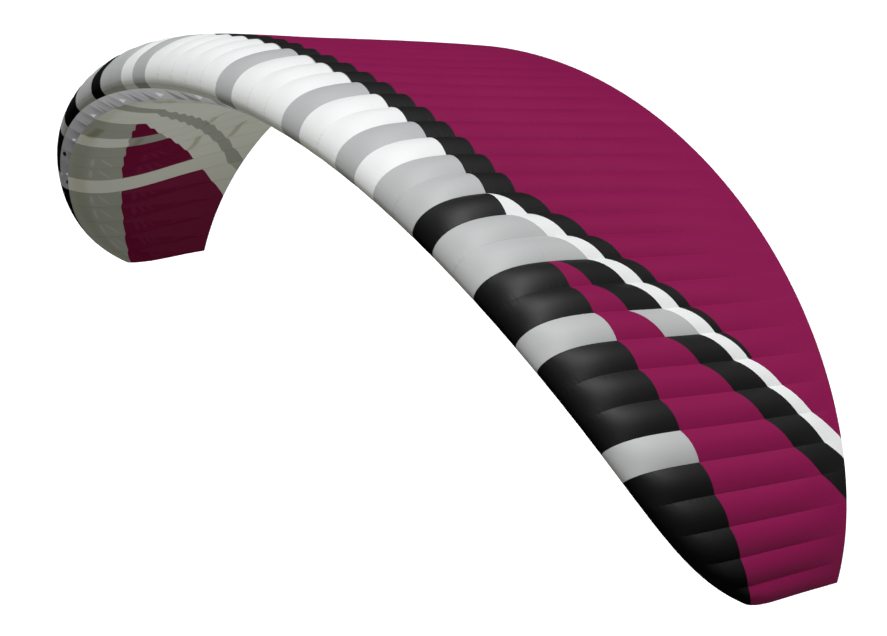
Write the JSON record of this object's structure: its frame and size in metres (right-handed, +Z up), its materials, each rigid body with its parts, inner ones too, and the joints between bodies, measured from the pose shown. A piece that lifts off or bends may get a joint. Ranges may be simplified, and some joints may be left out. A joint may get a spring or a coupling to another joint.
{
  "type": "paraglider wing",
  "caption": "Arched paraglider wing as it flies: upper and lower sails over ribs, filled through air inlets under the nose.",
  "frame": {"origin": "where the middle suspension line is fastened, on the lower sail at the middle rib, 30% of the chord back from the nose", "axes": "+X along the span, +Y from the nose to the tail, +Z up"},
  "size_m": [9.4578, 2.7527, 2.8111],
  "materials": {
    "nose_cloth": "coated ripstop",
    "upper_cloth": "coated ripstop",
    "lower_cloth": "thin sheer ripstop",
    "rib_cloth": "stiff ripstop"
  },
  "bodies": {
    "root": {"nose_panels_left": "nose_cloth", "nose_panels_middle": "nose_cloth", "nose_panels_right": "nose_cloth", "upper_sail": "upper_cloth", "lower_sail_left_tip": "lower_cloth", "lower_sail_left": "lower_cloth", "lower_sail_right": "lower_cloth", "lower_sail_right_tip": "lower_cloth", "rib_00": "rib_cloth", "rib_01": "rib_cloth", "rib_02": "rib_cloth", "rib_03": "rib_cloth", "rib_04": "rib_cloth", "rib_05": "rib_cloth", "rib_06": "rib_cloth", "rib_07": "rib_cloth", "rib_08": "rib_cloth", "rib_09": "rib_cloth", "rib_10": "rib_cloth", "rib_11": "rib_cloth", "rib_12": "rib_cloth", "rib_13": "rib_cloth", "rib_14": "rib_cloth", "rib_15": "rib_cloth", "rib_16": "rib_cloth", "rib_17": "rib_cloth", "rib_18": "rib_cloth", "rib_19": "rib_cloth", "rib_20": "rib_cloth", "rib_21": "rib_cloth", "rib_22": "rib_cloth", "rib_23": "rib_cloth", "rib_24": "rib_cloth", "rib_25": "rib_cloth", "rib_26": "rib_cloth", "rib_27": "rib_cloth", "rib_28": "rib_cloth", "rib_29": "rib_cloth", "rib_30": "rib_cloth", "rib_31": "rib_cloth", "rib_32": "rib_cloth", "rib_33": "rib_cloth", "rib_34": "rib_cloth", "rib_35": "rib_cloth", "rib_36": "rib_cloth", "rib_37": "rib_cloth", "rib_38": "rib_cloth", "rib_39": "rib_cloth", "rib_40": "rib_cloth", "rib_41": "rib_cloth", "rib_42": "rib_cloth", "rib_43": "rib_cloth", "rib_44": "rib_cloth", "rib_45": "rib_cloth", "rib_46": "rib_cloth", "rib_47": "rib_cloth", "rib_48": "rib_cloth", "rib_49": "rib_cloth", "rib_50": "rib_cloth"}
  },
  "joints": []
}
